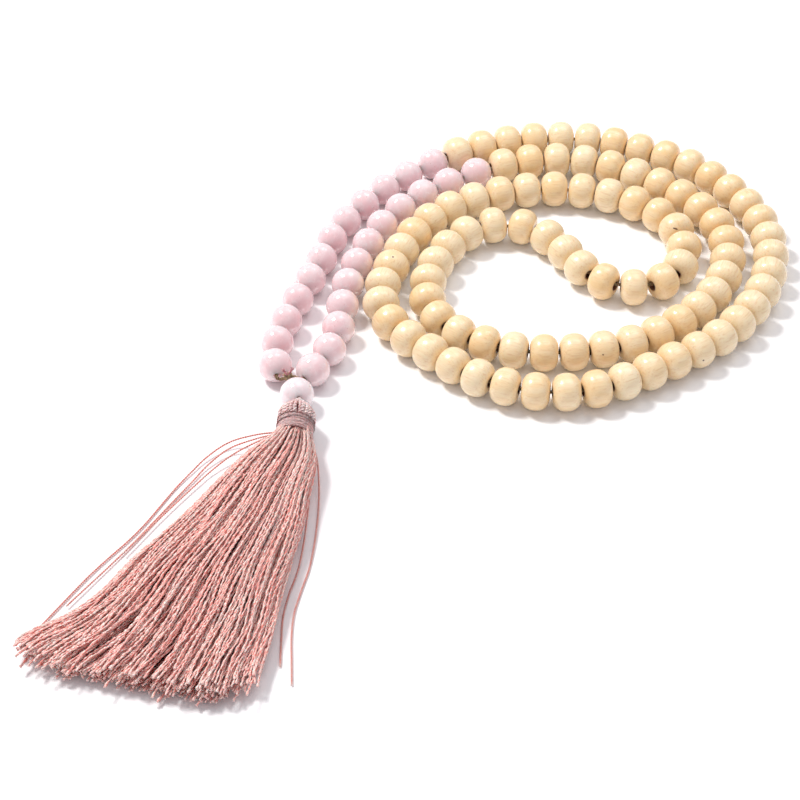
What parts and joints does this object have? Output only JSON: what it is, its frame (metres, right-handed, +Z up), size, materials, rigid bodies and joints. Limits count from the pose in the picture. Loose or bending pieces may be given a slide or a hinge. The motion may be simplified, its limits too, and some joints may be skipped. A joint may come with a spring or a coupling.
{
  "type": "mala prayer beads",
  "caption": "Strand of lacquered wooden beads and rose quartz beads, laid in a flat double spiral, whose ends meet at a guru bead with a silk tassel.",
  "frame": {"origin": "on the surface the beads rest on, under the middle of the bounding box of the whole strand and tassel as laid out", "axes": "+Z up; +Y from the tassel towards the coil, along the longest extent; +X to the right"},
  "size_m": [0.1707, 0.1918, 0.0095],
  "materials": {
    "lacquered_wood": "clear gloss lacquer over pale turned wood",
    "rose_quartz": "polished, cloudy and translucent",
    "pale_quartz": "polished, nearly colourless and translucent",
    "stringing_cord": "twisted waxed thread",
    "thread_tails": "twisted thread ends",
    "silk_yarn": "shiny twisted silk yarn",
    "silk_binding": "fine silk thread wound tightly"
  },
  "bodies": {
    "coil": {"wood_beads_01": "lacquered_wood", "wood_beads_02": "lacquered_wood", "wood_beads_03": "lacquered_wood", "wood_beads_04": "lacquered_wood", "wood_beads_05": "lacquered_wood", "wood_beads_06": "lacquered_wood", "wood_beads_07": "lacquered_wood", "wood_beads_08": "lacquered_wood", "wood_beads_09": "lacquered_wood", "wood_beads_10": "lacquered_wood", "wood_beads_11": "lacquered_wood", "wood_beads_12": "lacquered_wood", "wood_beads_13": "lacquered_wood", "wood_beads_14": "lacquered_wood", "wood_beads_15": "lacquered_wood", "wood_beads_16": "lacquered_wood", "wood_beads_17": "lacquered_wood", "wood_beads_18": "lacquered_wood", "coil_cord": "stringing_cord"},
    "strand_link_6": {"strand_cord_6": "stringing_cord"},
    "strand_link_5": {"strand_cord_5": "stringing_cord"},
    "strand_link_4": {"strand_cord_4": "stringing_cord"},
    "strand_link_3": {"strand_cord_3": "stringing_cord"},
    "strand_link_2": {"strand_cord_2": "stringing_cord"},
    "strand_link_1": {"strand_cord_1": "stringing_cord"},
    "quartz_left_01": {"quartz_left_01": "rose_quartz"},
    "quartz_left_02": {"quartz_left_02": "rose_quartz"},
    "quartz_left_03": {"quartz_left_03": "rose_quartz"},
    "quartz_left_04": {"quartz_left_04": "rose_quartz"},
    "quartz_left_05": {"quartz_left_05": "rose_quartz"},
    "quartz_left_06": {"quartz_left_06": "rose_quartz"},
    "quartz_left_07": {"quartz_left_07": "rose_quartz"},
    "quartz_left_08": {"quartz_left_08": "rose_quartz"},
    "quartz_left_09": {"quartz_left_09": "rose_quartz"},
    "quartz_left_10": {"quartz_left_10": "rose_quartz"},
    "quartz_left_11": {"quartz_left_11": "rose_quartz"},
    "quartz_left_12": {"quartz_left_12": "rose_quartz"},
    "quartz_right_01": {"quartz_right_01": "rose_quartz"},
    "quartz_right_02": {"quartz_right_02": "rose_quartz"},
    "quartz_right_03": {"quartz_right_03": "rose_quartz"},
    "quartz_right_04": {"quartz_right_04": "rose_quartz"},
    "quartz_right_05": {"quartz_right_05": "rose_quartz"},
    "quartz_right_06": {"quartz_right_06": "rose_quartz"},
    "quartz_right_07": {"quartz_right_07": "rose_quartz"},
    "quartz_right_08": {"quartz_right_08": "rose_quartz"},
    "quartz_right_09": {"quartz_right_09": "rose_quartz"},
    "quartz_right_10": {"quartz_right_10": "rose_quartz"},
    "quartz_right_11": {"quartz_right_11": "rose_quartz"},
    "quartz_right_12": {"quartz_right_12": "rose_quartz"},
    "guru_link": {"gathering_cord": "stringing_cord", "gathering_knot": "stringing_cord", "knot_tails": "thread_tails"},
    "guru_bead": {"guru_bead": "pale_quartz"},
    "hanging_loop": {"hanging_loop": "silk_yarn"},
    "tassel_head": {"tassel_head": "silk_yarn", "binding_band": "silk_binding", "skirt_upper": "silk_yarn"},
    "skirt_lower": {"skirt_lower": "silk_yarn"}
  },
  "joints": [
    {"name": "strand_fold_6", "type": "hinge", "parent": "coil", "child": "strand_link_6", "pos_m": [0.00916, 0.08097, 0.0044], "axis": [-0.9277, 0.3734, 0], "range_deg": [0, 20]},
    {"name": "strand_fold_5", "type": "hinge", "parent": "strand_link_6", "child": "strand_link_5", "pos_m": [-0.0043, 0.07226, 0.0039], "axis": [-0.9641, 0.2655, 0], "range_deg": [0, 20]},
    {"name": "strand_fold_4", "type": "hinge", "parent": "strand_link_5", "child": "strand_link_4", "pos_m": [-0.01484, 0.0602, 0.0039], "axis": [-0.9817, 0.1905, 0], "range_deg": [0, 20]},
    {"name": "strand_fold_3", "type": "hinge", "parent": "strand_link_4", "child": "strand_link_3", "pos_m": [-0.02148, 0.04565, 0.0039], "axis": [-0.9813, 0.1927, 0], "range_deg": [0, 20]},
    {"name": "strand_fold_2", "type": "hinge", "parent": "strand_link_3", "child": "strand_link_2", "pos_m": [-0.02608, 0.03025, 0.0039], "axis": [-0.9796, 0.2007, 0], "range_deg": [0, 20]},
    {"name": "strand_fold_1", "type": "hinge", "parent": "strand_link_2", "child": "strand_link_1", "pos_m": [-0.02931, 0.01458, 0.0039], "axis": [-0.9796, 0.2008, 0], "range_deg": [0, 20]},
    {"name": "quartz_left_01_spin", "type": "hinge", "parent": "strand_link_1", "child": "quartz_left_01", "pos_m": [-0.03651, 0.00399, 0.0039], "axis": [-0.1264, 0.992, 0], "continuous": true},
    {"name": "quartz_left_02_spin", "type": "hinge", "parent": "strand_link_1", "child": "quartz_left_02", "pos_m": [-0.03642, 0.01195, 0.0039], "axis": [0.1496, 0.9887, 0], "continuous": true},
    {"name": "quartz_left_03_spin", "type": "hinge", "parent": "strand_link_2", "child": "quartz_left_03", "pos_m": [-0.03469, 0.01978, 0.0039], "axis": [0.2798, 0.9601, 0], "continuous": true},
    {"name": "quartz_left_04_spin", "type": "hinge", "parent": "strand_link_2", "child": "quartz_left_04", "pos_m": [-0.03224, 0.02744, 0.0039], "axis": [0.3292, 0.9443, 0], "continuous": true},
    {"name": "quartz_left_05_spin", "type": "hinge", "parent": "strand_link_3", "child": "quartz_left_05", "pos_m": [-0.02951, 0.03502, 0.0039], "axis": [0.3485, 0.9373, 0], "continuous": true},
    {"name": "quartz_left_06_spin", "type": "hinge", "parent": "strand_link_3", "child": "quartz_left_06", "pos_m": [-0.02698, 0.04265, 0.0039], "axis": [0.2797, 0.9601, 0], "continuous": true},
    {"name": "quartz_left_07_spin", "type": "hinge", "parent": "strand_link_4", "child": "quartz_left_07", "pos_m": [-0.02466, 0.05034, 0.0039], "axis": [0.2981, 0.9545, 0], "continuous": true},
    {"name": "quartz_left_08_spin", "type": "hinge", "parent": "strand_link_4", "child": "quartz_left_08", "pos_m": [-0.0214, 0.05762, 0.0039], "axis": [0.5135, 0.8581, 0], "continuous": true},
    {"name": "quartz_left_09_spin", "type": "hinge", "parent": "strand_link_5", "child": "quartz_left_09", "pos_m": [-0.01699, 0.06434, 0.0039], "axis": [0.583, 0.8125, 0], "continuous": true},
    {"name": "quartz_left_10_spin", "type": "hinge", "parent": "strand_link_5", "child": "quartz_left_10", "pos_m": [-0.01199, 0.07063, 0.0039], "axis": [0.6604, 0.7509, 0], "continuous": true},
    {"name": "quartz_left_11_spin", "type": "hinge", "parent": "strand_link_6", "child": "quartz_left_11", "pos_m": [-0.00625, 0.07623, 0.0039], "axis": [0.7664, 0.6423, 0], "continuous": true},
    {"name": "quartz_left_12_spin", "type": "hinge", "parent": "strand_link_6", "child": "quartz_left_12", "pos_m": [0.0002, 0.08102, 0.00415], "axis": [0.8349, 0.5469, 0.062], "continuous": true},
    {"name": "quartz_right_01_spin", "type": "hinge", "parent": "strand_link_1", "child": "quartz_right_01", "pos_m": [-0.02782, 0.00239, 0.0039], "axis": [-0.5406, -0.8413, 0], "continuous": true},
    {"name": "quartz_right_02_spin", "type": "hinge", "parent": "strand_link_1", "child": "quartz_right_02", "pos_m": [-0.02423, 0.00951, 0.0039], "axis": [-0.3556, -0.9346, 0], "continuous": true},
    {"name": "quartz_right_03_spin", "type": "hinge", "parent": "strand_link_2", "child": "quartz_right_03", "pos_m": [-0.02229, 0.01724, 0.0039], "axis": [-0.1276, -0.9918, 0], "continuous": true},
    {"name": "quartz_right_04_spin", "type": "hinge", "parent": "strand_link_2", "child": "quartz_right_04", "pos_m": [-0.02151, 0.02525, 0.0039], "axis": [-0.0666, -0.9978, 0], "continuous": true},
    {"name": "quartz_right_05_spin", "type": "hinge", "parent": "strand_link_3", "child": "quartz_right_05", "pos_m": [-0.0204, 0.03319, 0.0039], "axis": [-0.2104, -0.9776, 0], "continuous": true},
    {"name": "quartz_right_06_spin", "type": "hinge", "parent": "strand_link_3", "child": "quartz_right_06", "pos_m": [-0.01832, 0.04095, 0.0039], "axis": [-0.3049, -0.9524, 0], "continuous": true},
    {"name": "quartz_right_07_spin", "type": "hinge", "parent": "strand_link_4", "child": "quartz_right_07", "pos_m": [-0.01571, 0.04856, 0.0039], "axis": [-0.345, -0.9386, 0], "continuous": true},
    {"name": "quartz_right_08_spin", "type": "hinge", "parent": "strand_link_4", "child": "quartz_right_08", "pos_m": [-0.01233, 0.05583, 0.0039], "axis": [-0.4946, -0.8691, 0], "continuous": true},
    {"name": "quartz_right_09_spin", "type": "hinge", "parent": "strand_link_5", "child": "quartz_right_09", "pos_m": [-0.00785, 0.06248, 0.0039], "axis": [-0.62, -0.7846, 0], "continuous": true},
    {"name": "quartz_right_10_spin", "type": "hinge", "parent": "strand_link_5", "child": "quartz_right_10", "pos_m": [-0.00231, 0.06826, 0.0039], "axis": [-0.758, -0.6522, 0], "continuous": true},
    {"name": "quartz_right_11_spin", "type": "hinge", "parent": "strand_link_6", "child": "quartz_right_11", "pos_m": [0.00413, 0.07303, 0.0039], "axis": [-0.8444, -0.5356, 0], "continuous": true},
    {"name": "quartz_right_12_spin", "type": "hinge", "parent": "strand_link_6", "child": "quartz_right_12", "pos_m": [0.01114, 0.07695, 0.00415], "axis": [-0.8966, -0.4385, -0.062], "continuous": true},
    {"name": "guru_fold", "type": "hinge", "parent": "strand_link_1", "child": "guru_link", "pos_m": [-0.033, -0.0005, 0.0039], "axis": [-0.9864, 0.1644, 0], "range_deg": [0, 35]},
    {"name": "guru_bead_spin", "type": "hinge", "parent": "guru_link", "child": "guru_bead", "pos_m": [-0.0312, -0.006, 0.0039], "axis": [0.1506, -0.9034, 0.4015], "continuous": true},
    {"name": "tassel_swing", "type": "hinge", "parent": "guru_link", "child": "hanging_loop", "pos_m": [-0.03052, -0.01011, 0.00573], "axis": [0, 0, 1], "range_deg": [-20, 40]},
    {"name": "tassel_lift", "type": "hinge", "parent": "hanging_loop", "child": "tassel_head", "pos_m": [-0.03052, -0.01011, 0.00573], "axis": [-0.9968, 0.0805, 0], "range_deg": [0, 60]},
    {"name": "skirt_fold", "type": "hinge", "parent": "tassel_head", "child": "skirt_lower", "pos_m": [-0.04288, -0.04975, 0.00425], "axis": [-0.9176, 0.3976, 0], "range_deg": [0, 35]}
  ]
}
